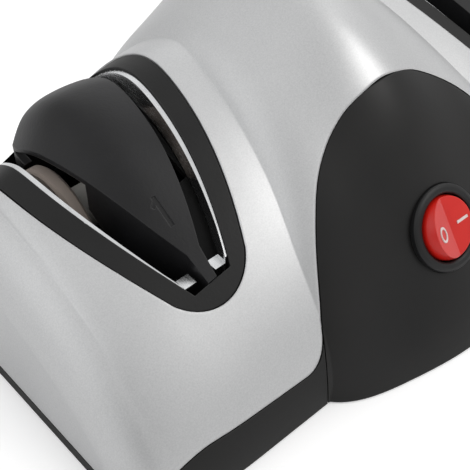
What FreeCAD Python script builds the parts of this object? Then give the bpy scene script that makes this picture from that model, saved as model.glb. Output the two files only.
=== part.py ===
# Two-stage electric knife sharpener, in millimetres, +Z up.
# The origin is on the table under the middle of the body: X runs along the drive shaft,
# stage 1 lies at -X and stage 2 at +X, and the user faces the front, which looks to -Y.
import FreeCAD
import Part
import Sketcher
import os
import math
from FreeCAD import Placement, Rotation, Vector

doc = FreeCAD.newDocument("knife_sharpener")

# Driving sizes: one row each of name, value and what it measures.
SIZES = [
    ("reach", 102.5, "half the length of the body at its foot"),
    ("front_line", 58.0, "how far the foot of the arms lies in front of the middle"),
    ("back_line", 58.0, "how far the foot of the arms lies behind the middle"),
    ("back_taper", 0.3, "how much the back of the arms draws in for each mm towards the end"),
    ("crown", 18.0, "how far behind the middle the arch of the arms is highest"),
    ("arm_top", 61.5, "height of the arch where the arm meets the dome"),
    ("arm_root", 30.0, "half the distance between the two places where that height is taken"),
    ("droop", 0.18, "slope of the arm's ridge at its root"),
    ("droop_more", 0.0015, "how fast that slope grows towards the end"),
    ("end_lean", 0.12, "how much the end wall leans in for each mm of height"),
    ("end_round", 9.0, "how deep the rounding of the ends goes along the body"),
    ("end_soft", 11.0, "how far that rounding reaches in across each end"),
    ("plan_round", 5.0, "how much the arm narrows at its end, front and back"),
    ("wall", 2.4, "wall of the casing"),
    ("gap", 0.4, "visible joint between neighbouring casing parts"),
    ("fit", 0.15, "hidden clearance between parts that are fixed together"),
    ("dome_foot", 71.2, "how far the foot of the front panel bulges in front of the middle"),
    ("dome_top", 75.5, "height of the dome"),
    ("switch_y", 52.8, "how far in front of the middle the panel carries the switch"),
    ("switch_z", 29.3, "height at which the panel carries the switch"),
    ("switch_lean", 35.7, "degrees that the panel leans back at the switch"),
    ("seam", 13.3, "height of the seam between upper casing and base on the long sides"),
    ("seam_end", 3.2, "height of that seam at the two ends"),
    ("ground", 0.5, "underside of the base above the table"),
    ("floor", 3.0, "thickness of the base plate"),
    ("panel_knee", 28.0, "height at which the sides of the panel turn into its arch"),
    ("stage", 60.5, "distance of each sharpening stage from the middle"),
    ("leaf_half", 24.6, "half the width of a slot frame"),
    ("leaf_widest", 26.0, "how far behind the middle a slot frame is widest"),
    ("leaf_bow", 124.0, "radius of a slot frame's sides in front of that place"),
    ("leaf_back_bow", 26.0, "radius of its sides behind that place"),
    ("leaf_tip", 36.4, "how far the tip of a slot frame lies in front of the middle"),
    ("leaf_back", 45.5, "how far a slot frame reaches behind the middle"),
    ("rim", 5.8, "width of the frame's rim beside a slot"),
    ("slot", 6.0, "width of a blade slot"),
    ("slot_depth", 12.0, "depth of a slot below the skin of the arm"),
    ("block_rise", 5.2, "how far the ridge of a guide block stands above the skin of the arm"),
    ("running", 0.1, "clearance round the shaft in its bushes"),
    ("shaft_y", 14.0, "how far behind the middle the drive shaft lies"),
    ("shaft_z", 31.0, "height of the drive shaft"),
    ("shaft_radius", 2.5, "radius of the drive shaft"),
    ("shaft_half", 90.5, "half the length of the drive shaft"),
    ("wheel_radius", 15.5, "radius of a grinding wheel"),
    ("wheel_thick", 4.0, "thickness of a grinding wheel"),
    ("wheel_face", 14.5, "distance of a wheel's outer face from the middle of its stage"),
    ("motor_radius", 20.0, "radius of the motor can"),
    ("motor_half", 29.0, "half the length of the motor can"),
    ("bezel_radius", 11.5, "radius of the round switch"),
    ("rocker_radius", 8.5, "radius of the rocker"),
    ("rocker_angle", 18.0, "degrees between the switch's on and off"),
    ("switch_depth", 18.0, "depth of the switch behind the panel"),
    ("ring_radius", 23.0, "outer radius of the motor's rubber rings"),
    ("mount_x", 22.0, "distance of the motor's two mounts from the middle"),
    ("mount_wide", 7.0, "width of a motor mount along the shaft"),
    ("post_x", 86.5, "distance of the outer shaft bushes from the middle"),
    ("bush_radius", 4.5, "outer radius of a shaft bush"),
    ("board_x", -73.0, "middle of the circuit board along the body"),
    ("board_y", -34.0, "middle of the circuit board across the body"),
    ("board_z", 7.0, "underside of the circuit board"),
    ("inlet_x", 25.0, "where the cord enters the back, along the body"),
    ("inlet_z", 7.6, "height at which the cord enters"),
    ("inlet_bore", 3.0, "radius of the hole for the cord"),
    ("foot_radius", 6.5, "radius of a rubber foot"),
    ("foot_x", 74.0, "distance of the feet from the middle, along the body"),
    ("foot_y", 35.0, "distance of the feet from the middle, across the body"),
]

sheet = doc.addObject("Spreadsheet::Sheet", "sizes")
for row, (name, number, note) in enumerate(SIZES, start=1):
    sheet.set(f"A{row}", name)
    sheet.set(f"B{row}", str(number))
    sheet.setAlias(f"B{row}", name)
    sheet.set(f"C{row}", note)
doc.recompute()


class Size:
    """A length that keeps the sheet formula it came from, so that objects can be bound to it."""

    def __init__(self, number, formula):
        self.number = number
        self.formula = formula

    def __float__(self):
        return self.number

    def join(self, other, sign, number):
        return Size(number, f"({self.formula} {sign} {as_size(other).formula})")

    def __add__(self, other):
        return self.join(other, "+", self.number + float(other))

    def __sub__(self, other):
        return self.join(other, "-", self.number - float(other))

    def __mul__(self, other):
        return self.join(other, "*", self.number * float(other))

    def __truediv__(self, other):
        return self.join(other, "/", self.number / float(other))

    def __neg__(self):
        return self * -1

    __radd__ = __add__
    __rmul__ = __mul__

    def __rsub__(self, other):
        return -self + other


def as_size(value):
    if isinstance(value, Size):
        return value
    return Size(float(value), f"{float(value):.6f}")


class Sheet:
    """The driving sizes by name."""


d = Sheet()
for name, number, note in SIZES:
    setattr(d, name, Size(float(sheet.get(name)), f"sizes.{name}"))


# The casing's outer form: two arms that run along X and a dome that crosses them. Each comes in any
# depth below the skin, so that walls, frames and the blocks follow the same surfaces.

def ridge(x, inset):
    """Height of an arm's ridge at x."""
    out = max(abs(x) - float(d.arm_root), 0.0)
    return float(d.arm_top) - float(d.droop) * out - float(d.droop_more) * out * out - inset


def back_edge(x):
    """How far behind the middle the foot of an arm lies at x; it draws in smoothly towards the end."""
    out = max(abs(x) - 34.0, 0.0)
    return float(d.back_line) - float(d.back_taper) * out * out / (out + 8.0)


def arch_wire(x, lean, height, front, back):
    """One section of an arm: from the front foot over the crown to the back foot, and closed below."""
    crown = float(d.crown)
    front_power = (1.5, 1.97)
    back_power = (1.9, 1.8)
    steps = 16
    points = []
    for step in range(steps + 1):
        turn = math.pi * step / steps
        power = front_power if step <= steps / 2 else back_power
        along = abs(math.cos(turn)) ** (2 / power[0])
        up = abs(math.sin(turn)) ** (2 / power[1]) * height
        if step <= steps / 2:
            y = crown - (crown - front) * along
        else:
            y = crown + (back - crown) * along
        points.append(Vector(x - math.copysign(lean * up, x), y, up))
    curve = Part.BSplineCurve()
    curve.interpolate(Points=points, Parameters=[step / steps for step in range(steps + 1)])
    return Part.Wire([curve.toShape(), Part.LineSegment(points[-1], points[0]).toShape()])


def arm_section(x, inset, drawn):
    """One section of the arms at x; the sections near an end lean in and narrow, and draw in further there."""
    share = abs(x) / (float(d.reach) - inset)
    pinch = max(share - 0.7, 0.0) / 0.3
    narrow = float(d.plan_round) * pinch * pinch
    lean = float(d.end_lean) if share > 0.9 else 0.0
    front = -float(d.front_line) + inset + narrow + drawn
    back = back_edge(x) - inset - narrow - drawn
    return arch_wire(x, lean, ridge(x, inset) - drawn, front, back)


def arms(inset):
    """The two arms as one solid through the dome, inset below the skin.

    The skin itself has round ends; below it the ends are square and stop short of that rounding."""
    radius = float(d.end_round)
    straight = float(d.reach) - inset - (radius if inset == 0 else 0.35 * radius)
    shares = [-1.0, -0.88, -0.76, -0.62, -0.42, 0.0, 0.42, 0.62, 0.76, 0.88, 1.0]
    wires = [arm_section(share * straight + 1e-6, inset, 0.0) for share in shares]
    solid = Part.makeLoft(wires, True, False, False, 3)
    if inset > 0:
        return solid
    for side in (-1, 1):
        wires = []
        for step in range(5):
            turn = math.radians(22.5 * step)
            x = side * (straight + radius * math.sin(turn)) + 1e-6
            wires.append(arm_section(x, inset, float(d.end_soft) * (1 - math.cos(turn))))
        solid = solid.fuse(Part.makeLoft(wires, True, False, False, 3))
    return solid


# The dome's sections stand like a fan on a line under the shaft. Each is given by its crest in the
# middle plane and by the crease where the arm leaves it, half its width and its reach from the line.
FAN_LOW = 20.0
FAN_CORE = 15.0
CREST = [
    (-float(d.dome_foot) - 0.4, -2.5, 43.9, 11.6, 0.30),
    (-63.7, 14.0, 43.6, 8.6, 0.30),
    (-float(d.switch_y), float(d.switch_z), 42.1, 6.6, 0.30),
    (-41.0, 46.5, 38.0, 9.8, 0.33),
    (-26.0, 62.5, 32.9, 14.2, 0.40),
    (-8.0, float(d.dome_top) - 3.3, 29.7, 15.6, 0.42),
    (12.0, float(d.dome_top), 27.6, 15.0, 0.42),
    (30.0, float(d.dome_top) - 4.0, 28.5, 14.8, 0.42),
    (45.0, 60.0, 32.0, 13.6, 0.40),
    (53.5, 43.0, 37.0, 10.5, 0.36),
    (57.0, 22.0, 41.0, 8.2, 0.33),
    (58.5, -2.5, 44.4, 7.5, 0.30),
]


def dome(inset):
    """The dome as one solid, inset below the skin."""
    hub = Vector(0, 12.0, -FAN_LOW)
    wires = []
    for y, z, half, sag, round_share in CREST:
        ray = Vector(0, y, z) - hub
        reach = ray.Length - inset
        ray.normalize()
        crease = reach - sag
        half = half - inset
        side = [
            (half + 14.0, FAN_CORE),
            (half + 9.0, FAN_CORE + 0.4 * (crease - FAN_CORE)),
            (half, crease),
            (0.55 * half, reach - round_share * sag),
        ]
        profile = [(-x, r) for x, r in side] + [(0.0, reach)] + list(reversed(side))
        points = [hub + ray * r + Vector(x, 0, 0) for x, r in profile]
        curve = Part.BSplineCurve()
        curve.interpolate(Points=points, Parameters=[0.0, 0.8, 2.0, 2.75, 3.5, 4.25, 5.0, 6.2, 7.0])
        wires.append(Part.Wire([curve.toShape(), Part.LineSegment(points[-1], points[0]).toShape()]))
    return Part.makeLoft(wires, True, False, False, 3)


def slab(low, high, size=260.0):
    """Everything between two heights."""
    return Part.makeBox(size, size, high - low, Vector(-size / 2, -size / 2, low))


def skin_form(inset):
    """The whole outer form of the casing, standing on the table, inset below the skin."""
    whole = arms(inset).fuse(dome(inset))
    return whole.common(slab(0, 120)).removeSplitter()


def prism(edges, low, high):
    """A closed outline drawn at height 0, carried straight up from low to high."""
    wire = Part.Wire(Part.__sortEdges__(edges))
    face = Part.Face(wire)
    face.translate(Vector(0, 0, low))
    return face.extrude(Vector(0, 0, high - low))


def bow(y, wider=1.0):
    """How far the side of a slot frame has drawn in at y, on an arc from its widest place."""
    radius = float(d.leaf_bow) * wider if y < float(d.leaf_widest) else float(d.leaf_back_bow)
    away = y - float(d.leaf_widest)
    return radius - math.sqrt(radius * radius - away * away)


def leaf(side, shrink, front_end, nose, back_end, tail, wider=1.0):
    """The upright prism of a leaf outline: the frame's, drawn in sideways by shrink, between two ends.

    The nose is either the place of a round tip or the corners of a straight one."""
    middle = side * float(d.stage)
    widest = float(d.leaf_widest)
    full = float(d.leaf_half) - shrink

    def edge_point(turn, y):
        return Vector(middle + turn * (full - bow(y, wider)), y, 0)

    curves = []
    for turn in (1, -1):
        for end in (front_end, back_end):
            curves.append(Part.Arc(edge_point(turn, widest), edge_point(turn, 0.5 * (widest + end)),
                                   edge_point(turn, end)).toShape())
    left, right = edge_point(-1, front_end), edge_point(1, front_end)
    if isinstance(nose, list):
        corners = [left] + [Vector(middle + x, y, 0) for x, y in nose] + [right]
        curves += [Part.LineSegment(a, b).toShape() for a, b in zip(corners, corners[1:])]
    else:
        curves.append(Part.Arc(left, Vector(middle, nose, 0), right).toShape())
    curves.append(Part.Arc(edge_point(-1, back_end), Vector(middle, tail, 0), edge_point(1, back_end)).toShape())
    return prism(curves, -1.0, 100.0)


def frame_leaf(side, grow=0.0):
    """The outline of a slot frame, let out by grow."""
    tip = -float(d.leaf_tip) - grow
    return leaf(side, -grow, tip + 5.9, tip, float(d.leaf_back) - 5.0 + grow, float(d.leaf_back) + grow)


def slot_leaf(side, grow=0.0):
    """The outline round both blade slots of a stage, let out by grow; its front end is straight."""
    front = -float(d.leaf_tip) + 4.6 - grow
    back = float(d.leaf_back) - float(d.rim) - 1.0 + grow
    return leaf(side, float(d.rim) - grow, front, [], back - 2.0, back, 1.07)


def block_leaf(side, shrink=0.0):
    """The outline of a guide block, drawn in by shrink; its nose runs out between the two slots."""
    inward = float(d.rim) + float(d.slot) + shrink
    drop = float(d.leaf_half) - inward - 1.9
    radius = float(d.leaf_bow)
    front = float(d.leaf_widest) - math.sqrt(radius * radius - (radius - drop) ** 2)
    tip = -float(d.leaf_tip) + 4.7
    nose = [(-1.3, tip), (1.3, tip)] if shrink == 0.0 else []
    back = float(d.leaf_back) - 11.5 - shrink
    return leaf(side, inward, front, nose, back, back + 2.6)


def feature(label, shape):
    """One freeform piece of the document."""
    item = doc.addObject("Part::Feature", label)
    item.Shape = shape.Solids[0] if len(shape.Solids) == 1 else shape
    item.Label = label
    return item


# Casing. The seam between the silver upper casing and the black base is level on the long sides, drops
# towards the two ends, and turns up beside the front panel.

def seam_profile(lift):
    """Outline, in front view, of everything under the seam."""
    reach = float(d.reach) + 8.0
    top = float(d.seam) + lift
    low = float(d.seam_end) + lift
    shoulder = float(d.reach) - 23.5
    edges = [Part.LineSegment(Vector(-shoulder, 0, top), Vector(shoulder, 0, top)).toShape()]
    for turn in (1, -1):
        slope = Part.BezierCurve()
        slope.setPoles([Vector(turn * shoulder, 0, top), Vector(turn * (shoulder + 7), 0, top),
                        Vector(turn * (shoulder + 16), 0, 0.62 * top + 0.38 * low),
                        Vector(turn * (shoulder + 23.5), 0, low)])
        edges.append(slope.toShape())
        edges.append(Part.LineSegment(Vector(turn * (shoulder + 23.5), 0, low), Vector(turn * reach, 0, low)).toShape())
        edges.append(Part.LineSegment(Vector(turn * reach, 0, low), Vector(turn * reach, 0, -5)).toShape())
    edges.append(Part.LineSegment(Vector(-reach, 0, -5), Vector(reach, 0, -5)).toShape())
    return Part.Face(Part.Wire(Part.__sortEdges__(edges)))


def across(face, front, back):
    """A front-view face carried from front to back."""
    face.translate(Vector(0, front, 0))
    return face.extrude(Vector(0, back - front, 0))


# Half the width of the front panel at a few heights, from its foot to just below its top.
PANEL_SIDES = [(45.2, 0.0), (44.9, 9.0), (42.4, 20.0), (39.7, 27.5), (36.6, 34.3), (30.5, 43.6),
               (26.3, 48.3), (21.9, 52.0), (16.6, 55.7), (11.2, 58.9), (5.8, 61.1)]
PANEL_TOP = 61.9


def panel_prism(grow):
    """The front panel's outline, carried back as far as the panel reaches."""
    points = [Vector(x + grow, 0, z) for x, z in PANEL_SIDES]
    points.append(Vector(0, 0, PANEL_TOP + grow))
    points += [Vector(-p.x, 0, p.z) for p in reversed(points[:-1])]
    arch = Part.BSplineCurve()
    arch.interpolate(points)
    foot = [points[-1], points[-1] - Vector(0, 0, 5), points[0] - Vector(0, 0, 5), points[0]]
    sides = [Part.LineSegment(a, b).toShape() for a, b in zip(foot, foot[1:])]
    return across(Part.Face(Part.Wire([arch.toShape()] + sides)), -90.0, 0.0)


def corner_rise(grow):
    """Where the base turns up beside the panel: two front corners above the seam."""
    pieces = []
    top = float(d.seam) + grow
    for turn in (1, -1):
        corner = Vector(turn * 40.0, 0, top - 1)
        out = Vector(turn * (50.2 + grow), 0, top - 1)
        out_up = Vector(turn * (50.2 + grow), 0, top)
        up = Vector(turn * (41.9 + grow), 0, top + 8.2)
        up_in = Vector(turn * 40.0, 0, top + 8.2)
        bend = Part.BezierCurve()
        bend.setPoles([out_up, Vector(turn * (46.3 + grow), 0, top + 0.2), Vector(turn * (43.6 + grow), 0, top + 3.0),
                       up])
        sides = [Part.LineSegment(corner, out).toShape(), Part.LineSegment(out, out_up).toShape(), bend.toShape(),
                 Part.LineSegment(up, up_in).toShape(), Part.LineSegment(up_in, corner).toShape()]
        pieces.append(across(Part.Face(Part.Wire(sides)), -90.0, -30.0))
    return pieces


# Forms of the casing at the depths that its parts need.
gap = float(d.gap)
wall = float(d.wall)
ground = float(d.ground)
fit = float(d.fit)
floor_top = ground + float(d.floor)
depth = float(d.slot_depth)
behind = wall + 0.1
forms = {inset: skin_form(inset) for inset in (0.0, 0.25, wall, behind, behind + 1.6, depth, depth + 2)}
outer = forms[0.0]
hollow = forms[wall]
skin = outer.cut(hollow).common(slab(ground, 120))


def between(high, low):
    """The layer between two depths below the skin."""
    return forms[high].cut(forms[low])


def upright(radius, x, y, low, high):
    """An upright cylinder."""
    return Part.makeCylinder(radius, high - low, Vector(x, y, low))


def along_x(radius, low, high):
    """A cylinder about the drive shaft, between two places along it."""
    start = Vector(low, float(d.shaft_y), float(d.shaft_z))
    return Part.makeCylinder(radius, high - low, start, Vector(1, 0, 0))


def block_of(x, y, z, wide, deep, high):
    """A block by the middle of its underside."""
    return Part.makeBox(wide, deep, high, Vector(x - wide / 2, y - deep / 2, z))


# The four screws that hold the casing together, by where they stand.
CASE_SCREWS = [(-46.0, -44.0), (46.0, -44.0), (-34.0, 47.0), (34.0, 47.0)]
SCREW_SEAT = 12.0

# Upper casing: silver shell with a screw boss over each screw.
front_opening = panel_prism(gap).cut(forms[behind])
under_seam = across(seam_profile(gap), -100.0, 100.0)
leaves = [frame_leaf(side, gap) for side in (-1, 1)]
bosses = [upright(3.6, x, y, SCREW_SEAT, 70).common(hollow) for x, y in CASE_SCREWS]
shell = skin.cut([under_seam, panel_prism(gap)] + corner_rise(gap) + leaves).fuse(bosses)
upper_casing = feature("upper_casing", shell.cut([upright(1.5, x, y, 0, 21) for x, y in CASE_SCREWS]))

# The switch's own frame: its origin lies on the panel, its Z points out of the panel and its Y up it.
switch_frame = Placement(Vector(0, -float(d.switch_y), float(d.switch_z)),
                         Rotation(Vector(1, 0, 0), 90 - float(d.switch_lean)))


def from_switch(shape):
    """A shape drawn in the switch's frame, put in its place."""
    shape.Placement = switch_frame.multiply(shape.Placement)
    return shape


# Front panel: a black shell with a lip that lies behind the edges of the silver casing.
panel_zone = panel_prism(0).common(slab(ground, 120))
lip_zone = panel_prism(2.5).common(slab(floor_top + fit, 120)).cut(panel_prism(-2.5))
lip_zone = lip_zone.cut([upright(5.5, x, y, 0, 80) for x, y in CASE_SCREWS])
lip = between(behind, behind + 1.6).common(lip_zone)
link = between(wall, behind).common(panel_zone).cut(panel_prism(-2.5))
neck = float(d.bezel_radius) - 1.3
seat = from_switch(Part.makeCylinder(float(d.bezel_radius) + fit, 6, Vector(0, 0, -0.6)))
throat = from_switch(Part.makeCylinder(neck + fit, 30, Vector(0, 0, -15)))
panel_shape = skin.common(panel_zone).fuse([link, lip]).cut([seat, throat])
front_panel = feature("front_panel", panel_shape)

# Base: floor, low walls, the two saddles under the motor, the posts of the outer shaft bushes, stands
# for the circuit board and a socket for every screw and rubber foot.
base_zone = across(seam_profile(0), -100.0, 100.0).fuse(corner_rise(0))
tray_hollow = hollow.common(slab(floor_top, 120))
tray = outer.common(slab(ground, 120)).common(base_zone).cut([tray_hollow, front_opening])
raised = []
for side in (-1, 1):
    raised.append(block_of(side * float(d.mount_x), float(d.shaft_y), floor_top - 1, float(d.mount_wide), 66,
                           float(d.shaft_z) - floor_top + 0.8))
    raised.append(block_of(side * float(d.post_x), float(d.shaft_y), floor_top - 1, 5, 15,
                           float(d.shaft_z) - floor_top + 8))
raised += [upright(5.0, x, y, floor_top - 1, SCREW_SEAT - 0.1) for x, y in CASE_SCREWS]
BOARD_SCREWS = [(float(d.board_x) + turn * 15.0, float(d.board_y) + lean * 11.0)
                for turn in (-1, 1) for lean in (-1, 1)]
raised += [upright(2.6, x, y, floor_top - 1, float(d.board_z) - 0.1) for x, y in BOARD_SCREWS]
CLAMP_SCREWS = [(turn * float(d.mount_x), float(d.shaft_y) + lean * 29.0) for turn in (-1, 1) for lean in (-1, 1)]
FEET = [(turn * float(d.foot_x), lean * float(d.foot_y)) for turn in (-1, 1) for lean in (-1, 1)]
sunk = [along_x(float(d.ring_radius) + fit, -40, 40), along_x(float(d.bush_radius) + fit, -95, 95)]
sunk += [upright(float(d.foot_radius) + fit, x, y, -1, ground + 1) for x, y in FEET]
sunk += [upright(3.2, x, y, -1, 5.5) for x, y in CASE_SCREWS]
sunk += [upright(1.7, x, y, 0, 20) for x, y in CASE_SCREWS]
sunk += [upright(1.1, x, y, floor_top - 0.5, 20) for x, y in BOARD_SCREWS]
sunk += [upright(1.6, x, y, 18, 40) for x, y in CLAMP_SCREWS]
inlet = Vector(float(d.inlet_x), 50, float(d.inlet_z))
back_way = Vector(0, 1, 0)
sunk.append(Part.makeCylinder(4.2 + fit, 20, inlet, back_way))
sunk.append(Part.makeCylinder(5.2 + fit, 20, inlet + Vector(0, 7.0, 0), back_way))
base_tray = feature("base_tray", tray.fuse(raised).cut(sunk))


# Slot frames and guide blocks. Each frame is a leaf-shaped rim flush with the arm, a flange behind the
# casing, and a well whose floor has windows for the wheels. The block stands in the middle of the well.

def skin_height(x, y):
    """Height of the arm's skin at a place in plan."""
    crown = float(d.crown)
    if y < crown:
        share = (crown - y) / (crown + float(d.front_line))
        power = (1.5, 1.97)
    else:
        share = (y - crown) / (back_edge(x) - crown)
        power = (1.9, 1.8)
    turn = math.acos(min(share ** (power[0] / 2), 1.0))
    return ridge(x, 0.0) * math.sin(turn) ** (2 / power[1])


def smooth(low, high, y):
    """A share that goes smoothly from 0 to 1 between two places."""
    share = min(max((y - low) / (high - low), 0.0), 1.0)
    return share * share * (3 - 2 * share)


def roof(side, drop):
    """Everything under the arched top of a guide block, dropped by a little for its hollow.

    It rises out of the front tip, is broad and flat beside the dome and falls off towards the end."""
    wires = []
    stage = float(d.stage)
    for y in (-44.0, -36.0, -28.0, -18.0, -8.0, 2.0, 11.0, 19.0, 26.0, 33.0, 41.0):
        near = smooth(-34.0, 12.0, y)
        end_share = 0.35 * near - 0.55 * smooth(2.0, 26.0, y)
        shares = ((-24.0, -0.9 * near), (-12.5, 0.2 * near), (-1.5, 1.08 * near), (7.0, 1.05 * near),
                  (13.0, end_share), (24.0, end_share - 1.9 * near))
        points = []
        for off, share in shares:
            height = skin_height(stage + off, y) + share * float(d.block_rise) - drop
            points.append(Vector(side * (stage + off), y, height))
        top = Part.BSplineCurve()
        top.interpolate(Points=points, Parameters=[0.0, 1.0, 2.0, 2.8, 3.4, 4.3])
        foot = [points[-1], Vector(points[-1].x, y, 2.0), Vector(points[0].x, y, 2.0), points[0]]
        sides = [Part.LineSegment(a, b).toShape() for a, b in zip(foot, foot[1:])]
        wires.append(Part.Wire([top.toShape()] + sides))
    return Part.makeLoft(wires, True, False, False, 3)


def digit(side):
    """The stroke prisms of the stage's number, which reads upright from the front."""
    middle = side * (float(d.stage) + 1.2)
    foot = -18.6
    strokes = []
    if side < 0:
        strokes.append(Part.makeBox(1.1, 7.2, 60, Vector(middle - 0.1, foot, 20)))
        flag = Part.makeBox(2.2, 1.0, 60, Vector(-2.2, -0.5, 20))
        flag.Placement = Placement(Vector(middle + 0.6, foot + 6.6, 0), Rotation(Vector(0, 0, 1), 40))
        strokes.append(flag)
        return strokes
    ring = upright(2.3, middle, foot + 4.9, 20, 80).cut(upright(1.2, middle, foot + 4.9, 20, 80))
    low_left = Part.makeBox(3.0, 3.0, 60, Vector(middle - 3.0, foot + 1.9, 20))
    strokes.append(ring.cut(low_left))
    slope = Part.makeBox(1.1, 5.2, 60, Vector(-1.1, 0, 20))
    slope.Placement = Placement(Vector(middle - 1.4, foot + 0.3, 0), Rotation(Vector(0, 0, 1), -44))
    strokes.append(slope)
    strokes.append(Part.makeBox(4.8, 1.1, 60, Vector(middle - 2.4, foot, 20)))
    return strokes


middle = -float(d.stage)
mirror_plane = (Vector(0, 0, 0), Vector(1, 0, 0))
reach = float(d.wheel_radius) + 2.5
face = float(d.wheel_face) + 1.0
window = block_of(middle, float(d.shaft_y), 0, 2 * face, 2 * reach, 80)
rim = between(0.25, behind + 1.6).common(frame_leaf(-1))
flange = between(behind, behind + 1.6).common(frame_leaf(-1, 2.0))
well = between(0.25, depth + 2).common(slot_leaf(-1, 2.0))
clear = float(d.seam) + 3
cavity = forms[0.0].fuse(slab(60, 70)).cut(forms[depth]).common(slot_leaf(-1)).common(slab(clear + 2, 120))
frame = rim.fuse([flange, well]).common(slab(clear, 120)).cut([cavity, window, along_x(8.0, middle - 30, middle + 30)])
inside = roof(-1, 2.2).common(block_leaf(-1, 2.2))
sweep = along_x(float(d.wheel_radius) + 1.2, middle - face + 0.5, middle + face - 0.5)
notch = block_of(middle, float(d.shaft_y) + 6, float(d.shaft_z) + 11, 2 * face - 1, 36, 60).common(roof(-1, 1.6))
block = roof(-1, 0.0).common(block_leaf(-1)).common(slab(clear + 2, 120))
block = block.cut(forms[depth]).cut([inside, sweep, notch])
feature("slot_frame_1", frame)
feature("slot_frame_2", frame.mirror(*mirror_plane))
for side, number, shape in ((-1, 1, block), (1, 2, block.mirror(*mirror_plane))):
    engraved = [stroke.cut(roof(side, 0.4)) for stroke in digit(side)]
    marked = shape.cut(engraved)
    marked.translate(Vector(0, 0, 0.1))
    feature(f"guide_block_{number}", marked)


# Pieces that are turned, cut from sheet or built of plain solids. Their sketches and sizes are bound to
# the sheet, and every one is placed by the same named sizes.

def bind(item, prop, size):
    """Tie one size of an object to the sheet."""
    item.setExpression(prop, as_size(size).formula)


def put(item, at, spin=None):
    """Place an object, with each of its three coordinates tied to the sheet."""
    item.Placement = Placement(Vector(*[float(as_size(v)) for v in at]), spin or Rotation())
    for axis, value in zip("xyz", at):
        bind(item, f"Placement.Base.{axis}", value)


def outline(body, name, plane, points):
    """A closed sketch through the given corners, each held by two bound distances."""
    sketch = body.newObject("Sketcher::SketchObject", name)
    flat = [item for item in body.Origin.OriginFeatures if item.Role == plane][0]
    sketch.AttachmentSupport = (flat, "")
    sketch.MapMode = "FlatFace"
    corners = [(as_size(a), as_size(b)) for a, b in points]
    spots = [Vector(float(a), float(b), 0) for a, b in corners]
    for start, end in zip(spots, spots[1:] + spots[:1]):
        sketch.addGeometry(Part.LineSegment(start, end), False)
    count = len(spots)
    for index in range(count):
        sketch.addConstraint(Sketcher.Constraint("Coincident", index, 2, (index + 1) % count, 1))
    for index, (a, b) in enumerate(corners):
        for kind, value, axis in (("DistanceX", a, -2), ("DistanceY", b, -1)):
            if float(value) == 0.0:
                sketch.addConstraint(Sketcher.Constraint("PointOnObject", index, 1, axis))
            else:
                where = sketch.addConstraint(Sketcher.Constraint(kind, -1, 1, index, 1, float(value)))
                sketch.setExpression(f"Constraints[{where}]", value.formula)
    return sketch


def new_body(label):
    body = doc.addObject("PartDesign::Body", label)
    body.Label = label
    return body


ALONG_X = Rotation(Vector(0, 1, 0), 90)
ALONG_Y = Rotation(Vector(1, 0, 0), -90)
IN_SWITCH = switch_frame.Rotation


def turned(label, points, at=(0, 0, 0), spin=None):
    """A body turned about its own Z from corners given as radius and height."""
    body = new_body(label)
    profile = outline(body, f"{label}_profile", "XZ_Plane", points)
    turn = body.newObject("PartDesign::Revolution", f"{label}_turn")
    turn.Profile = profile
    turn.ReferenceAxis = (profile, ["V_Axis"])
    turn.Angle = 360
    profile.Visibility = False
    put(body, at, spin)
    return body


def plate(label, points, thick, at=(0, 0, 0), spin=None):
    """A body cut from a flat outline in its own XY plane."""
    body = new_body(label)
    profile = outline(body, f"{label}_profile", "XY_Plane", points)
    pad = body.newObject("PartDesign::Pad", f"{label}_pad")
    pad.Profile = profile
    bind(pad, "Length", thick)
    profile.Visibility = False
    put(body, at, spin)
    return body


def rod(label, radius, length, at=(0, 0, 0), spin=None, angle=360):
    """A round bar, or a sector of one."""
    item = doc.addObject("Part::Cylinder", label)
    bind(item, "Radius", radius)
    bind(item, "Height", length)
    item.Angle = angle
    put(item, at, spin)
    return item


def brick(label, wide, deep, high, at=(0, 0, 0), spin=None):
    """A plain block, placed by its lowest corner."""
    item = doc.addObject("Part::Box", label)
    bind(item, "Length", wide)
    bind(item, "Width", deep)
    bind(item, "Height", high)
    put(item, at, spin)
    return item


def minus(label, base, *tools):
    """One solid with others cut from it."""
    cutter = tools[0] if len(tools) == 1 else plus(f"{label}_cutter", *tools)
    item = doc.addObject("Part::Cut", label)
    item.Base = base
    item.Tool = cutter
    item.Label = label
    return item


def plus(label, *items):
    """Several solids as one piece."""
    item = doc.addObject("Part::MultiFuse", label)
    item.Shapes = list(items)
    item.Label = label
    return item


def ring_points(inner, outer_radius, high, chamfer=0.0, low=0.0):
    """Corners of a ring's section, with both outer edges broken."""
    top = as_size(high) + low
    if chamfer == 0.0:
        return [(inner, low), (outer_radius, low), (outer_radius, top), (inner, top)]
    edge = as_size(outer_radius) - chamfer
    return [(inner, low), (edge, low), (outer_radius, as_size(low) + chamfer),
            (outer_radius, top - chamfer), (edge, top), (inner, top)]


sy = d.shaft_y
sz = d.shaft_z
bore = d.shaft_radius + d.running

# Drive train: one shaft with the motor's rotor in the middle and two pairs of grinding wheels.
half = d.shaft_half
tip = d.shaft_radius - 0.5
drive_shaft = turned("drive_shaft", [(0, -half), (tip, -half), (d.shaft_radius, -half + 0.5),
                                     (d.shaft_radius, half - 0.5), (tip, half), (0, half)],
                     (0, sy, sz), ALONG_X)
sleeve_half = d.wheel_face - d.wheel_thick
for number, side, kind in ((1, -1, "coarse"), (2, 1, "fine")):
    for turn, where in ((-1, "left"), (1, "right")):
        low = d.stage * side + (d.wheel_face * turn if turn < 0 else sleeve_half)
        turned(f"{kind}_wheel_{where}", ring_points(bore, d.wheel_radius, d.wheel_thick, 0.8), (low, sy, sz), ALONG_X)
    sleeve_low = d.stage * side - sleeve_half + 0.1
    turned(f"{kind}_wheel_sleeve", ring_points(bore, 6.0, sleeve_half * 2 - 0.2, 0.4), (sleeve_low, sy, sz), ALONG_X)
nuts = []
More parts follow.
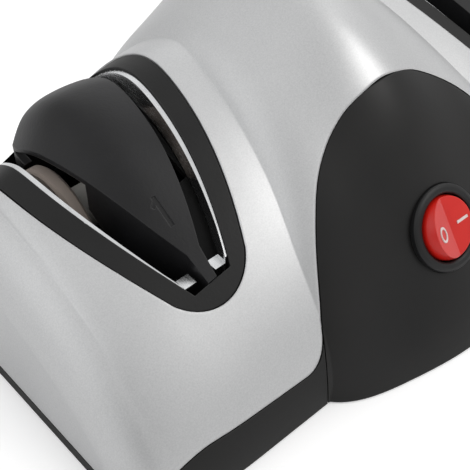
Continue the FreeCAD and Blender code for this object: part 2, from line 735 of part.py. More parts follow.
for side in (-1, 1):
    for turn in (-1, 1):
        hexagon = doc.addObject("Part::Prism", "nut_hexagon")
        hexagon.Polygon = 6
        hexagon.Circumradius = 4.6
        hexagon.Height = 4
        low = d.stage * side + (d.wheel_face + 0.1 if turn > 0 else -d.wheel_face - 4.1)
        put(hexagon, (low, sy, sz), ALONG_X)
        nuts.append(minus("nut_with_hole", hexagon, rod("nut_hole", bore, 6, (low - 1, sy, sz), ALONG_X)))
wheel_nuts = plus("wheel_nuts", *nuts)

# Motor: can, two magnets, wound core, commutator, two brushes, an end cap with the brush sleeves, and a
# bush at each end.
can = d.motor_radius
can_half = d.motor_half
motor_bore = d.bush_radius + d.fit
motor_can = turned("motor_can", [(motor_bore, 0), (can, 0), (can, can_half * 2 - 4.1), (can - 1.2, can_half * 2 - 4.1),
                                 (can - 1.2, 1.4), (motor_bore, 1.4)], (-can_half, sy, sz), ALONG_X)
cap_disc = turned("cap_disc", [(motor_bore, -1.4), (can - 1.4, -1.4), (can - 1.4, 0), (can, 0), (can, 4), (motor_bore, 4)],
                  (can_half - 4, sy, sz), ALONG_X)
sleeves = []
holes = []
for turn in (-1, 1):
    near = sy + (5.8 if turn > 0 else -15.8)
    sleeves.append(brick("brush_sleeve", 9.0, 10, 7, (can_half - 13, near, sz - 3.5)))
    holes.append(brick("brush_channel", 5.3, 14, 4.3, (can_half - 11.65, near - 2, sz - 2.15)))
motor_end_cap = minus("motor_end_cap", plus("cap_with_sleeves", cap_disc, *sleeves), *holes)
for turn, where in ((-1, "front"), (1, "back")):
    near = sy + (5.1 if turn > 0 else -14.6)
    brick(f"motor_brush_{where}", 5, 9.5, 4, (can_half - 11.5, near, sz - 2))
for turn, where in ((-90, "front"), (90, "back")):
    start = Rotation(Vector(1, 0, 0), turn + 145).multiply(ALONG_X)
    full = rod("magnet_sector", can - 1.35, 32, (-can_half + 6, sy, sz), start, 110)
    eye = rod("magnet_eye", can - 4.6, 40, (-can_half + 4, sy, sz), ALONG_X)
    minus(f"motor_magnet_{where}", full, eye)
core = rod("core_round", can - 5.2, 24, (-can_half + 10, sy, sz), ALONG_X)
slots = [rod("core_bore", bore, 30, (-can_half + 8, sy, sz), ALONG_X)]
bars = []
for step in range(5):
    spin = Rotation(Vector(1, 0, 0), 72 * step)
    off = spin.multVec(Vector(0, -2.2, 9.6))
    slots.append(brick("core_slot", 30, 4.4, 8, (-can_half + 8, sy + off.y, sz + off.z), spin))
    off = spin.multVec(Vector(0, -1.9, 9.9))
    bars.append(brick("coil_bar", 24.4, 3.8, 3.6, (-can_half + 9.8, sy + off.y, sz + off.z), spin))
armature_core = minus("armature_core", core, *slots)
for low in (-can_half + 4.3, -can_half + 34.1):
    bars.append(turned("coil_end", ring_points(7.0, 13.4, 5.6, 1.4), (low, sy, sz), ALONG_X))
armature_coils = plus("armature_coils", *bars)
commutator = turned("commutator", ring_points(bore, 5.0, 6.6, 0.4), (can_half - 12.5, sy, sz), ALONG_X)
bush_points = ring_points(bore, d.bush_radius, 5.0, 0.4)
motor_bush_left = turned("motor_bush_left", bush_points, (-can_half - 1.8, sy, sz), ALONG_X)
motor_bush_right = turned("motor_bush_right", bush_points, (can_half - 3.2, sy, sz), ALONG_X)
shaft_bush_left = turned("shaft_bush_left", bush_points, (-d.post_x - 2.5, sy, sz), ALONG_X)
shaft_bush_right = turned("shaft_bush_right", bush_points, (d.post_x - 2.5, sy, sz), ALONG_X)

# Motor mounts: a rubber ring round each end of the can, a strap over it and two screws through the strap.
ring_low = d.mount_wide / -2
for side, where in ((-1, "left"), (1, "right")):
    middle = d.mount_x * side
    turned(f"motor_ring_{where}", ring_points(can + 0.1, d.ring_radius, d.mount_wide, 0.5),
           (middle + ring_low, sy, sz), ALONG_X)
    strap = rod("strap_round", d.ring_radius + 2.2, d.mount_wide, (middle + ring_low, sy, sz), ALONG_X)
    ears = brick("strap_ears", d.mount_wide, 66, 3, (middle + ring_low, sy - 33, sz))
    eye = rod("strap_eye", d.ring_radius + d.fit, 30, (middle - 15, sy, sz), ALONG_X)
    below = brick("strap_below", 30, 80, 40, (middle - 15, sy - 40, sz - 40))
    bolts = [rod("strap_hole", 1.7, 10, (middle, sy + 29 * lean, sz - 1)) for lean in (-1, 1)]
    minus(f"motor_strap_{where}", plus("strap_blank", strap, ears), eye, below, *bolts)


def screws(label, radius, length, head, places):
    """A set of equal screws, heads at the top end of their shanks, as one piece."""
    made = []
    for spot, down in places:
        points = [(0, 0), (radius, 0), (radius, length), (head, length), (head, as_size(length) + 1.6), (0, as_size(length) + 1.6)]
        spin = Rotation() if down else Rotation(Vector(1, 0, 0), 180)
        made.append(turned(f"{label}_one", points, spot, spin))
    return plus(label, *made)


strap_screws = screws("strap_screws", 1.35, 12, 2.6,
                      [((d.mount_x * turn, sy + 29 * lean, sz + 3.1 - 12), True)
                       for turn in (-1, 1) for lean in (-1, 1)])
case_screws = screws("case_screws", 1.3, 14.8, 2.9, [((x, y, 20.1), False) for x, y in CASE_SCREWS])

# Circuit board with its parts, flat on four stands beside the front panel.
board_top = d.board_z + 1.6
board = brick("board_blank", 36, 28, 1.6, (d.board_x - 18, d.board_y - 14, d.board_z))
board_holes = [rod("board_hole", 1.3, 6, (d.board_x + x * 15, d.board_y + y * 11, d.board_z - 2))
               for x in (-1, 1) for y in (-1, 1)]
circuit_board = minus("circuit_board", board, *board_holes)
board_screws = screws("board_screws", 0.9, 5.0, 1.9,
                      [((d.board_x + x * 15, d.board_y + y * 11, board_top + 0.1 - 5.0), True)
                       for x in (-1, 1) for y in (-1, 1)])
rectifier = brick("rectifier", 5, 8, 5.5, (d.board_x - 3, d.board_y - 8, board_top + 0.1))
capacitor = turned("capacitor", ring_points(0, 3.4, 13, 0.5), (d.board_x - 9, d.board_y + 5.2, board_top + 3.5), ALONG_X)
terminal_block = brick("terminal_block", 6, 12, 6.5, (d.board_x + 8, d.board_y - 6, board_top + 0.1))

# Switch: a body through the panel, a round bezel in its seat, and the rocker with its two marks.
switch_at = (0, -d.switch_y, d.switch_z)
hinge_drop = 0.9
ball = float(d.rocker_radius) + 0.1
opening = ball + 0.35
rim_low = -0.5


def in_switch(x, y, z):
    """A place given in the switch's frame."""
    return switch_frame.multVec(Vector(x, y, z))


bezel_ring = turned("bezel_ring", [(opening, rim_low), (d.bezel_radius, rim_low), (d.bezel_radius, 0.9),
                                       (d.bezel_radius - 0.35, 1.3), (d.bezel_radius - 1.0, 1.5),
                                       (opening + 0.5, 1.5), (opening, 1.1)], switch_at, IN_SWITCH)
across_switch = IN_SWITCH.multiply(Rotation(Vector(1, 0, 0), -90))
pin = 0.9
pin_reach = 9.7
pin_start = tuple(in_switch(0, -pin_reach - 0.25, -hinge_drop))
ring_bore, body_bore = [rod(name, pin + 0.15, 2 * pin_reach + 0.5, pin_start, across_switch)
                        for name in ("bezel_pin_bore", "body_pin_bore")]
switch_bezel = minus("switch_bezel", bezel_ring, ring_bore)
deep = d.switch_depth
shoulder = d.bezel_radius - 1.3
body_shell = turned("switch_shell", [(0, -deep), (shoulder, -deep), (shoulder, rim_low - 0.1), (opening, rim_low - 0.1),
                                     (opening, -9.0), (0, -9.0)], switch_at, IN_SWITCH)
tab_cuts = [in_switch(x - 1.0, -3.2, -deep.number - 1) for x in (-4.5, 4.5)]
tab_slots = [brick("tab_slot", 2.0, 6.4, 5, tuple(c), IN_SWITCH) for c in tab_cuts]
switch_body = minus("switch_body", body_shell, body_bore, *tab_slots)
for x, where in ((-4.5, "left"), (4.5, "right")):
    corner = in_switch(x - 0.9, -3.1, -deep.number - 7)
    brick(f"switch_tab_{where}", 1.8, 6.2, 10.8, tuple(corner), IN_SWITCH)


def rocker_face(points, low, high):
    """A prism across the switch from an outline of x and z in the switch's frame, level with its hinge."""
    face = Part.Face(Part.makePolygon([Vector(x, low, z) for x, z in points + points[:1]]))
    return face.extrude(Vector(0, high - low, 0))


rest = Placement(Vector(0, 0, -hinge_drop), Rotation(Vector(0, 1, 0), float(d.rocker_angle) / 2))
body_side = [(-8.6, 4.2), (0.0, 2.5), (8.6, 4.2), (8.6, -2.2), (4.0, -6.6), (-4.0, -6.6), (-8.6, -2.2)]
rocker_shape = Part.makeSphere(ball).common(rocker_face(body_side, -12, 12))
hinge_pins = Part.makeCylinder(pin, 2 * pin_reach, Vector(0, -pin_reach, 0), Vector(0, 1, 0))
rocker_shape = rocker_shape.fuse(hinge_pins)
mark_slope = math.degrees(math.atan2(1.7, 8.6))
marks = []
for turn in (-1, 1):
    spot = Placement(Vector(turn * 4.4, 0, 2.5 + 4.4 * 1.7 / 8.6), Rotation(Vector(0, 1, 0), -turn * mark_slope))
    if turn < 0:
        zero = Part.makeCylinder(1.95, 0.5, Vector(0, 0, -0.3)).cut(Part.makeCylinder(1.35, 2, Vector(0, 0, -1)))
        stretch = FreeCAD.Matrix()
        stretch.scale(0.82, 1.1, 1.0)
        mark = zero.transformGeometry(stretch)
    else:
        mark = Part.makeBox(3.9, 0.75, 0.5, Vector(-1.95, -0.375, -0.3))
    mark.Placement = spot
    marks.append(mark)
pockets = []
for mark in marks:
    grown = mark.copy()
    pockets.append(grown)
rocker_shape = rocker_shape.cut(pockets)


def set_in_switch(shape):
    """A shape of the rocker, at rest, in its place in the panel."""
    shape.Placement = switch_frame.multiply(rest).multiply(shape.Placement)
    return shape


rocker = feature("rocker", set_in_switch(rocker_shape))
rocker_marks = feature("rocker_marks", Part.makeCompound([set_in_switch(mark) for mark in marks]))

# Blade guides: four steel strips, one along the outer wall of each slot, each with its front end folded in.

def blade_guide(turn):
    """The strip on one side of stage 1: the frame's slot wall drawn in by the fit and then by the sheet."""
    middle = -float(d.stage)
    rim = float(d.rim) + fit
    front = -float(d.leaf_tip) + 6.2
    back = float(d.leaf_back) - float(d.rim) - 4.0
    layer = leaf(-1, rim, front, [], back, back + 0.4, 1.07)
    thin = layer.cut(leaf(-1, rim + 0.55, front - 2, [], back + 1.5, back + 1.9, 1.07))
    hem = layer.cut(leaf(-1, rim + 1.35, front - 2, [], back + 1.5, back + 1.9, 1.16))
    side = Part.makeBox(40, back - front - 1.6, 100, Vector(middle if turn > 0 else middle - 40, front + 0.8, 0))
    levels = []
    for drop in (0.8, 1.5, 9.0):
        level = forms[0.25].copy()
        level.translate(Vector(0, 0, -drop))
        levels.append(level)
    strip = thin.common(side).common(levels[0]).cut(levels[2])
    strip = strip.fuse(hem.common(side).common(levels[0]).cut(levels[1]))
    edge = middle + turn * (float(d.leaf_half) - rim - bow(front + 0.8, 1.07))
    top = skin_height(middle, front + 2.0) - 3.2
    clip = Part.makeBox(3.6, 3.4, 0.6, Vector(edge - (3.6 if turn > 0 else 0), front + 0.8, top))
    return strip.fuse(clip)


guides = {"outer": blade_guide(-1), "inner": blade_guide(1)}
for where, shape in guides.items():
    feature(f"blade_guide_1_{where}", shape)
    feature(f"blade_guide_2_{where}", shape.mirror(*mirror_plane))

# Cord inlet, rubber feet and the magnets that hold the steel filings.
cord_inlet = turned("cord_inlet", [(d.inlet_bore, 0), (4.2, 0), (4.2, 6.2), (5.2, 6.2), (5.2, 8.4), (4.6, 9.2), (d.inlet_bore, 9.2)],
                    (d.inlet_x, 51, d.inlet_z), ALONG_Y)
foot_names = ("front_left", "back_left", "front_right", "back_right")
for where, (turn, lean) in zip(foot_names, ((-1, -1), (-1, 1), (1, -1), (1, 1))):
    turned(f"rubber_foot_{where}", [(0, 0), (d.foot_radius - 0.6, 0), (d.foot_radius, 0.6), (d.foot_radius, d.ground + 0.9),
                                    (0, d.ground + 0.9)], (d.foot_x * turn, d.foot_y * lean, 0))
for side, where in ((-1, "left"), (1, "right")):
    brick(f"filings_magnet_{where}", 22, 8, 3, (d.stage * side - 11, sy - 4, floor_top + 0.1))

# Wires: round leads along straight runs joined by tangent arcs.
LEAD_RADIUS = 0.8


def bent_path(points):
    """Straight runs through the points, with the largest even bend at each corner."""
    points = [Vector(*p) for p in points]
    edges = []
    here = points[0]
    for before, corner, after in zip(points, points[1:], points[2:]):
        come, go = corner - before, after - corner
        reach_in = 0.45 * min(come.Length, go.Length)
        come.normalize()
        go.normalize()
        first, last = corner - come * reach_in, corner + go * reach_in
        turn = come.getAngle(go)
        radius = reach_in / math.tan(turn / 2)
        inward = go - come
        inward.normalize()
        middle = corner + inward * (radius / math.cos(turn / 2) - radius)
        edges.append(Part.LineSegment(here, first).toShape())
        edges.append(Part.Arc(first, middle, last).toShape())
        here = last
    edges.append(Part.LineSegment(here, points[-1]).toShape())
    return Part.Wire(edges)


WIRES = {
    "switch_lead_live": [(-58.8, -38.5, 12), (-51, -38, 10.5), (-38, -36, 6.2), (-22, -38, 6), (-11, -36, 7),
                         (-6.5, -32.5, 10)],
    "switch_lead_load": [(-58.8, -35.5, 12), (-51, -34.5, 10.5), (-38, -30.5, 6.2), (-18, -29.8, 6), (-3, -29.8, 7),
                         (6.5, -30.0, 10)],
    "motor_lead_front": [(-58.8, -29.5, 12), (-51, -27.5, 10.5), (-38, -22.5, 6.2), (0, -22.5, 6), (26, -22.5, 9),
                         (35, -12, 17), (30.2, 3, 25)],
    "motor_lead_back": [(-58.8, -32.5, 12), (-51, -31, 10.5), (-38, -26.2, 6.2), (0, -26.2, 6), (30, -26, 6),
                        (37, -20, 7), (41.5, -8, 8), (42, 8, 9), (38.5, 22, 14), (30.2, 25, 22)],
}
for name, path in WIRES.items():
    start = Vector(*path[0])
    section = Part.Face(Part.Wire(Part.makeCircle(LEAD_RADIUS, start, Vector(*path[1]) - start)))
    feature(name, bent_path(path).makePipe(section))

# The finished pieces: whatever no other object takes in. Each is checked before any is written.
doc.recompute()
PIECES = [item for item in doc.Objects
          if item.TypeId in ("PartDesign::Body", "Part::Feature", "Part::Cut", "Part::MultiFuse", "Part::Box")
          and not [user for user in item.InList if user.TypeId.startswith("Part::")]]
for item in doc.Objects:
    if "Invalid" in item.State or "Error" in item.State:
        raise RuntimeError(f"{item.Label} did not compute")
for item in PIECES:
    if item.Shape.isNull() or not item.Shape.isValid():
        raise RuntimeError(f"{item.Label} has no valid shape")
os.makedirs("parts", exist_ok=True)
for item in PIECES:
    item.Shape.exportStep(f"parts/{item.Label}.step")
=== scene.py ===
import bpy
from mathutils import Matrix, Vector

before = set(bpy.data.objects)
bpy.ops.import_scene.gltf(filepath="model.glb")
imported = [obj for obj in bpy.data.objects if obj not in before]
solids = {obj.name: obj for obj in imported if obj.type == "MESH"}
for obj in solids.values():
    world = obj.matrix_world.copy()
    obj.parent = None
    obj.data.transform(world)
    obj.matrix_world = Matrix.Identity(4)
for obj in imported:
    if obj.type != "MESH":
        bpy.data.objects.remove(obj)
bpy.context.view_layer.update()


# The table and the camera. The sharpener stands on a pale tabletop and is seen from above its left
# front corner, so near that both ends of the casing run out of the picture.
ACROSS = Vector((0.74576, -0.66619, -0.00492))
UPWARDS = Vector((0.48271, 0.53524, 0.69319))
BACKWARDS = Vector((-0.45916, -0.51933, 0.72074))
EYE = Vector((-0.15918, -0.15136, 0.21352))
LENS_MM = 76.6
FILM_MM = 36.0
NEAREST = 0.01
FARTHEST = 20.0

lens = bpy.data.cameras.new("bench_camera")
lens.sensor_width = FILM_MM
lens.lens = LENS_MM
lens.clip_start = NEAREST
lens.clip_end = FARTHEST
stand = bpy.data.objects.new("bench_camera", lens)
stand.matrix_world = Matrix((
    (ACROSS.x, UPWARDS.x, BACKWARDS.x, EYE.x),
    (ACROSS.y, UPWARDS.y, BACKWARDS.y, EYE.y),
    (ACROSS.z, UPWARDS.z, BACKWARDS.z, EYE.z),
    (0.0, 0.0, 0.0, 1.0),
))
bpy.context.scene.collection.objects.link(stand)
bpy.context.scene.camera = stand


def tree_of(material):
    """The emptied node tree of a material, with one main shader joined to its output."""
    material.use_nodes = True
    tree = material.node_tree
    tree.nodes.clear()
    out = tree.nodes.new("ShaderNodeOutputMaterial")
    shader = tree.nodes.new("ShaderNodeBsdfPrincipled")
    tree.links.new(shader.outputs["BSDF"], out.inputs["Surface"])
    return tree, shader, out


def put(tree, kind, **settings):
    """One node. A setting named like an input fills that input's value or joins it to an output."""
    node = tree.nodes.new(kind)
    for name, value in settings.items():
        socket = node.inputs.get(name.replace("_", " "))
        if socket is None:
            setattr(node, name, value)
        elif isinstance(value, bpy.types.NodeSocket):
            tree.links.new(value, socket)
        else:
            socket.default_value = value
    return node


def blended(tree, factor, first, second, how="MIX"):
    """The second colour mixed into the first. Each is a triple or an output, and so is the factor."""
    node = put(tree, "ShaderNodeMix", data_type="RGBA", blend_type=how)
    for name, value in (("Factor", factor), ("A", first), ("B", second)):
        if isinstance(value, bpy.types.NodeSocket):
            tree.links.new(value, node.inputs[name])
        else:
            node.inputs[name].default_value = value if name == "Factor" else (*value, 1)
    return node.outputs["Result"]


def only_to_camera(tree, elsewhere, seen):
    """The second shader where the camera looks straight at it, and the first for every other ray."""
    ray = put(tree, "ShaderNodeLightPath")
    either = put(tree, "ShaderNodeMixShader")
    tree.links.new(ray.outputs["Is Camera Ray"], either.inputs[0])
    tree.links.new(elsewhere, either.inputs[1])
    tree.links.new(seen, either.inputs[2])
    return either.outputs["Shader"]


TABLE_SHADES = ((0.86, 0.86, 0.865), (0.90, 0.90, 0.90))
TABLE_GLOW = 0.32
TABLE_HALF = 3.0

tabletop = bpy.data.materials.new("pale_tabletop")
tree, shader, out = tree_of(tabletop)
place = put(tree, "ShaderNodeTexCoord")
cloudy = put(tree, "ShaderNodeTexNoise", Vector=place.outputs["Object"], Scale=3.0, Detail=2.0)
tint = blended(tree, cloudy.outputs["Fac"], *TABLE_SHADES)
tree.links.new(tint, shader.inputs["Base Color"])
shader.inputs["Roughness"].default_value = 0.85
shader.inputs["Specular IOR Level"].default_value = 0.2
glow = put(tree, "ShaderNodeEmission", Color=(1, 1, 1, 1), Strength=TABLE_GLOW)
lit = put(tree, "ShaderNodeAddShader")
tree.links.new(shader.outputs["BSDF"], lit.inputs[0])
tree.links.new(glow.outputs["Emission"], lit.inputs[1])
skin = only_to_camera(tree, shader.outputs["BSDF"], lit.outputs["Shader"])
tree.links.new(skin, out.inputs["Surface"])

top = bpy.data.meshes.new("tabletop")
corners = [(x * TABLE_HALF, y * TABLE_HALF, 0) for x, y in ((-1, -1), (1, -1), (1, 1), (-1, 1))]
top.from_pydata(corners, [], [(0, 1, 2, 3)])
top.materials.append(tabletop)
tabletop_piece = bpy.data.objects.new("tabletop", top)
bpy.context.scene.collection.objects.link(tabletop_piece)


# The light. One soft box high over the front right, and a pale room that is brighter at the left and
# at the back right and dim behind the camera, so that the satin silver shows broad soft reflections.
def sum_of(tree, how, a, b=None, c=None):
    """One Math node over values or outputs."""
    node = tree.nodes.new("ShaderNodeMath")
    node.operation = how
    for index, value in enumerate((a, b, c)):
        if value is None:
            continue
        if isinstance(value, bpy.types.NodeSocket):
            tree.links.new(value, node.inputs[index])
        else:
            node.inputs[index].default_value = value
    return node.outputs[0]


def ranged(tree, value, taken, given):
    """A value carried from one range to another, and held at its ends."""
    node = put(tree, "ShaderNodeMapRange", Value=value)
    node.inputs["From Min"].default_value, node.inputs["From Max"].default_value = taken
    node.inputs["To Min"].default_value, node.inputs["To Max"].default_value = given
    return node.outputs["Result"]


LAMP_AT = Vector((0.46, -0.45, 0.80))
LAMP_TOWARDS = Vector((0.0, -0.02, 0.03))
LAMP_SIDE = 0.55
LAMP_WATTS = 2.6
LAMP_SHADE = (1.0, 0.985, 0.965)

lamp = bpy.data.lights.new("box_overhead", "AREA")
lamp.shape = "RECTANGLE"
lamp.size = LAMP_SIDE
lamp.size_y = LAMP_SIDE
lamp.energy = LAMP_WATTS
lamp.color = LAMP_SHADE
holder = bpy.data.objects.new("box_overhead", lamp)
holder.location = LAMP_AT
holder.rotation_euler = (LAMP_TOWARDS - LAMP_AT).to_track_quat("-Z", "Y").to_euler()
bpy.context.scene.collection.objects.link(holder)

# The room's grey by height, and its parts: name, direction, how narrow it is, what it adds.
WALL_HEIGHTS = (-0.1, 0.9)
WALL_GREYS = (0.62, 0.74)
ROOM_PARTS = [
    ("left_window", (-0.80, 0.22, 0.50), 6.0, 0.55),
    ("right_back_wall", (0.70, 0.52, 0.48), 8.0, 0.60),
    ("camera_side", (-0.72, -0.56, 0.40), 7.0, -0.42),
]

room = bpy.data.worlds.new("pale_room")
bpy.context.scene.world = room
room.use_nodes = True
tree = room.node_tree
tree.nodes.clear()
place = put(tree, "ShaderNodeTexCoord")
split = put(tree, "ShaderNodeSeparateXYZ", Vector=place.outputs["Generated"])
level = ranged(tree, split.outputs["Z"], WALL_HEIGHTS, WALL_GREYS)
for name, way, narrowness, gain in ROOM_PARTS:
    near = put(tree, "ShaderNodeVectorMath", operation="DOT_PRODUCT", label=name)
    tree.links.new(place.outputs["Generated"], near.inputs[0])
    near.inputs[1].default_value = Vector(way).normalized()
    front = sum_of(tree, "MAXIMUM", near.outputs["Value"], 0.0)
    patch = sum_of(tree, "POWER", front, narrowness)
    level = sum_of(tree, "MULTIPLY_ADD", patch, gain, level)
air = put(tree, "ShaderNodeBackground", Strength=1.0)
tree.links.new(level, air.inputs["Color"])
white = put(tree, "ShaderNodeBackground", Color=(1, 1, 1, 1), Strength=1.0)
out = put(tree, "ShaderNodeOutputWorld")
sky = only_to_camera(tree, air.outputs["Background"], white.outputs["Background"])
tree.links.new(sky, out.inputs["Surface"])
bpy.context.scene.view_settings.view_transform = "Standard"


# Upper casing: one moulded shell sprayed in satin silver. The paint is a thin metallic coat whose flakes
# twinkle, over a faint orange peel. Its sharp rims are painted paler, partly for thinner paint there and
# partly as a painted highlight.
def new_group(name, takes, gives):
    """A shader node group with its sockets, its first node and its last."""
    group = bpy.data.node_groups.new(name, "ShaderNodeTree")
    for label, kind, start in takes:
        socket = group.interface.new_socket(name=label, in_out="INPUT", socket_type=kind)
        socket.default_value = start
    for label, kind in gives:
        group.interface.new_socket(name=label, in_out="OUTPUT", socket_type=kind)
    return group, group.nodes.new("NodeGroupInput"), group.nodes.new("NodeGroupOutput")


# Grain of a moulded or painted skin: a fine noise for the height of the texture, and a slow one that
# mottles colour and gloss. Sizes are in grains per metre.
moulded_grain, inward, outward = new_group(
    "moulded_grain",
    [("Grains", "NodeSocketFloat", 2500.0), ("Patches", "NodeSocketFloat", 35.0)],
    [("Height", "NodeSocketFloat"), ("Tone", "NodeSocketFloat"), ("Fine", "NodeSocketFloat")],
)
place = put(moulded_grain, "ShaderNodeTexCoord")
fine = put(moulded_grain, "ShaderNodeTexNoise", Vector=place.outputs["Object"], Detail=2.0, Roughness=0.6)
moulded_grain.links.new(inward.outputs["Grains"], fine.inputs["Scale"])
pits = put(moulded_grain, "ShaderNodeTexVoronoi", Vector=place.outputs["Object"], feature="SMOOTH_F1")
half_size = sum_of(moulded_grain, "MULTIPLY", inward.outputs["Grains"], 0.45)
moulded_grain.links.new(half_size, pits.inputs["Scale"])
slow = put(moulded_grain, "ShaderNodeTexNoise", Vector=place.outputs["Object"], Detail=4.0, Roughness=0.55)
moulded_grain.links.new(inward.outputs["Patches"], slow.inputs["Scale"])
height = sum_of(moulded_grain, "MULTIPLY_ADD", pits.outputs["Distance"], 0.6, fine.outputs["Fac"])
moulded_grain.links.new(height, outward.inputs["Height"])
moulded_grain.links.new(slow.outputs["Fac"], outward.inputs["Tone"])
moulded_grain.links.new(fine.outputs["Fac"], outward.inputs["Fine"])

# Rim of edge wear and painted highlight: where the rounded normal of a narrow bevel leaves the true normal
# there is an edge, and a slow noise breaks that mask up. Through this mask a paler colour paints a
# highlight along the edges, partly standing for edge wear.
rim_wear_and_highlight, inward, outward = new_group(
    "rim_wear_and_highlight",
    [("Width", "NodeSocketFloat", 0.0004), ("Amount", "NodeSocketFloat", 1.0)],
    [("Rim", "NodeSocketFloat"), ("Normal", "NodeSocketVector")],
)
rounded = put(rim_wear_and_highlight, "ShaderNodeBevel", samples=6)
rim_wear_and_highlight.links.new(inward.outputs["Width"], rounded.inputs["Radius"])
true_way = put(rim_wear_and_highlight, "ShaderNodeNewGeometry")
meet = put(rim_wear_and_highlight, "ShaderNodeVectorMath", operation="DOT_PRODUCT")
rim_wear_and_highlight.links.new(rounded.outputs["Normal"], meet.inputs[0])
rim_wear_and_highlight.links.new(true_way.outputs["Normal"], meet.inputs[1])
away = sum_of(rim_wear_and_highlight, "SUBTRACT", 1.0, meet.outputs["Value"])
sharp = sum_of(rim_wear_and_highlight, "MULTIPLY", away, 5.0)
place = put(rim_wear_and_highlight, "ShaderNodeTexCoord")
rim_breakup = put(rim_wear_and_highlight, "ShaderNodeTexNoise", Vector=place.outputs["Object"], Scale=240.0, Detail=3.0)
broken = sum_of(rim_wear_and_highlight, "MULTIPLY", sharp, rim_breakup.outputs["Fac"])
amount = sum_of(rim_wear_and_highlight, "MULTIPLY", broken, inward.outputs["Amount"])
capped = sum_of(rim_wear_and_highlight, "MINIMUM", amount, 1.0)
rim_wear_and_highlight.links.new(capped, outward.inputs["Rim"])
rim_wear_and_highlight.links.new(rounded.outputs["Normal"], outward.inputs["Normal"])


def dressed(name, shades, gloss, grains, depth, rim, patches=35.0, metallic=0.0, coat=0.0,
            width=0.0004, sheen_fine=0.0, shine=0.3):
    """A skin with grain: two shades mottled together, a paler or darker rim, gloss from dull to bright.

    The base colour is shade A mixed to shade B by the slow tone, then to the rim's colour at the rim. That
    rim colour is a painted highlight along the edges, partly edge wear."""
    material = bpy.data.materials.new(name)
    tree, shader, _ = tree_of(material)
    grain = tree.nodes.new("ShaderNodeGroup")
    grain.node_tree = moulded_grain
    grain.inputs["Grains"].default_value = grains
    grain.inputs["Patches"].default_value = patches
    edge = tree.nodes.new("ShaderNodeGroup")
    edge.node_tree = rim_wear_and_highlight
    edge.inputs["Width"].default_value = width
    edge.inputs["Amount"].default_value = rim[1]
    tone = ranged(tree, grain.outputs["Tone"], (0.3, 0.7), (0.0, 1.0))
    shade = blended(tree, tone, *shades)
    flecked = blended(tree, sheen_fine, shade, grain.outputs["Fine"], "OVERLAY")
    # The paler rim colour is a painted highlight along the edges, partly edge wear.
    worn_and_highlit = blended(tree, edge.outputs["Rim"], flecked, rim[0])
    tree.links.new(worn_and_highlit, shader.inputs["Base Color"])
    dull = ranged(tree, grain.outputs["Tone"], (0.25, 0.75), gloss)
    tree.links.new(dull, shader.inputs["Roughness"])
    relief = put(tree, "ShaderNodeBump", Strength=1.0, Distance=depth, Height=grain.outputs["Height"],
                 Normal=edge.outputs["Normal"])
    tree.links.new(relief.outputs["Normal"], shader.inputs["Normal"])
    shader.inputs["Metallic"].default_value = metallic
    shader.inputs["Specular IOR Level"].default_value = shine
    shader.inputs["Coat Weight"].default_value = coat
    shader.inputs["Coat Roughness"].default_value = 0.25
    return material


def wear(material, *names):
    """Give CAD solids their finish."""
    for name in names:
        skin = solids[name].data.materials
        skin.clear()
        skin.append(material)


silver_paint = dressed("silver_paint", ((0.58, 0.585, 0.59), (0.63, 0.635, 0.64)), (0.40, 0.46),
                       grains=2600.0, depth=0.000006, rim=((0.85, 0.85, 0.86), 0.5), metallic=0.7,
                       patches=22.0, width=0.0006, sheen_fine=0.25, shine=0.5)
wear(silver_paint, "upper_casing")


# Front panel: black ABS let into the silver shell, finely spark-textured in the mould.
panel_black = dressed("panel_black", ((0.007, 0.007, 0.007), (0.011, 0.0105, 0.0102)), (0.36, 0.44),
                      grains=2400.0, depth=0.000012, rim=((0.10, 0.10, 0.10), 0.35), patches=30.0)
wear(panel_black, "front_panel")


# Base tray: black ABS with the same mould texture, duller because the table rubs it.
base_black = dressed("base_black", ((0.008, 0.008, 0.008), (0.013, 0.013, 0.0128)), (0.45, 0.58),
                     grains=2000.0, depth=0.000018, rim=((0.09, 0.09, 0.09), 0.5), patches=45.0)
wear(base_black, "base_tray")


# Slot frames and guide blocks: nylon parts with a coarser matt texture that hides scratches.
frame_black = dressed("frame_black", ((0.007, 0.007, 0.007), (0.012, 0.012, 0.012)), (0.42, 0.55),
                      grains=1500.0, depth=0.00003, rim=((0.12, 0.12, 0.12), 0.5), patches=60.0)
wear(frame_black, "slot_frame_1", "slot_frame_2")
block_black = dressed("block_black", ((0.008, 0.008, 0.0085), (0.014, 0.014, 0.0155)), (0.40, 0.52),
                      grains=1500.0, depth=0.00003, rim=((0.12, 0.12, 0.12), 0.5), patches=60.0)
wear(block_black, "guide_block_1", "guide_block_2")


# Blade guides: bright spring-steel strips along the slots, with folded clips in front.
STREAK_DEPTH = 0.000004


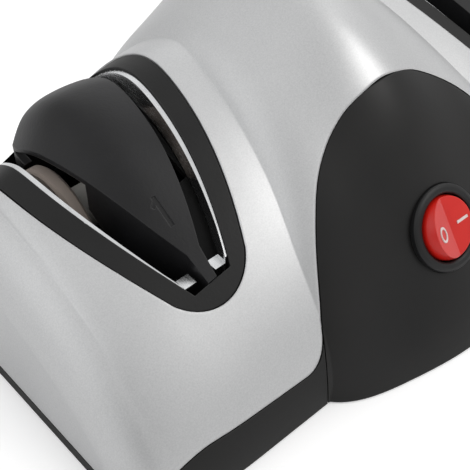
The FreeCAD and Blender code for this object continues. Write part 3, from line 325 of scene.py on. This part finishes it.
def rolled(name, shade, gloss, streaks, along, dirt=(0.25, 0.25, 0.26)):
    """Bare metal with fine rolling or grinding streaks: noise stretched fifty times along one axis."""
    material = bpy.data.materials.new(name)
    tree, shader, _ = tree_of(material)
    place = put(tree, "ShaderNodeTexCoord")
    stretch = {"Y": (1, 0.02, 1), "Z": (1, 1, 0.02)}[along]
    run = put(tree, "ShaderNodeMapping", Vector=place.outputs["Object"])
    run.inputs["Scale"].default_value = stretch
    streak = put(tree, "ShaderNodeTexNoise", Vector=run.outputs["Vector"], Scale=streaks, Detail=4.0,
                 Roughness=0.65)
    stain = put(tree, "ShaderNodeTexNoise", Vector=place.outputs["Object"], Scale=120.0, Detail=5.0)
    tone = ranged(tree, stain.outputs["Fac"], (0.5, 0.85), (0.0, 0.35))
    mixed = blended(tree, tone, shade, dirt)
    lined = blended(tree, 0.3, mixed, streak.outputs["Fac"], "OVERLAY")
    tree.links.new(lined, shader.inputs["Base Color"])
    dull = ranged(tree, streak.outputs["Fac"], (0.3, 0.7), gloss)
    tree.links.new(dull, shader.inputs["Roughness"])
    relief = put(tree, "ShaderNodeBump", Strength=1.0, Distance=STREAK_DEPTH,
                 Height=streak.outputs["Fac"])
    tree.links.new(relief.outputs["Normal"], shader.inputs["Normal"])
    shader.inputs["Metallic"].default_value = 1.0
    return material


spring_steel = rolled("spring_steel", (0.78, 0.79, 0.80), (0.18, 0.30), 2500.0, along="Y")
wear(spring_steel, "blade_guide_1_inner", "blade_guide_1_outer", "blade_guide_2_inner",
     "blade_guide_2_outer")


# Switch: a black nylon ring and body snapped into the panel, with a red rocker on two hinge pins.
# The marks are printed in white on the rocker.
bezel_black = dressed("bezel_black", ((0.010, 0.010, 0.0105), (0.016, 0.016, 0.0165)), (0.32, 0.40),
                      grains=3000.0, depth=0.000008, rim=((0.12, 0.12, 0.12), 0.4), patches=80.0)
wear(bezel_black, "switch_bezel")
rocker_red = dressed("rocker_red", ((0.62, 0.010, 0.006), (0.70, 0.018, 0.010)), (0.20, 0.28),
                     grains=1800.0, depth=0.000008, rim=((0.85, 0.10, 0.07), 0.5), patches=90.0, coat=0.3)
wear(rocker_red, "rocker")
mark_white = dressed("mark_white", ((0.78, 0.62, 0.60), (0.86, 0.74, 0.72)), (0.45, 0.55),
                     grains=6000.0, depth=0.000006, rim=((0.85, 0.6, 0.58), 0.3), patches=500.0)
wear(mark_white, "rocker_marks")
switch_black = dressed("switch_black", ((0.02, 0.02, 0.02), (0.03, 0.03, 0.03)), (0.45, 0.55),
                       grains=2500.0, depth=0.000012, rim=((0.1, 0.1, 0.1), 0.4))
wear(switch_black, "switch_body")
tab_brass = rolled("tab_brass", (0.70, 0.52, 0.26), (0.25, 0.38), 2500.0, along="Z",
                   dirt=(0.30, 0.20, 0.09))
wear(tab_brass, "switch_tab_left", "switch_tab_right")
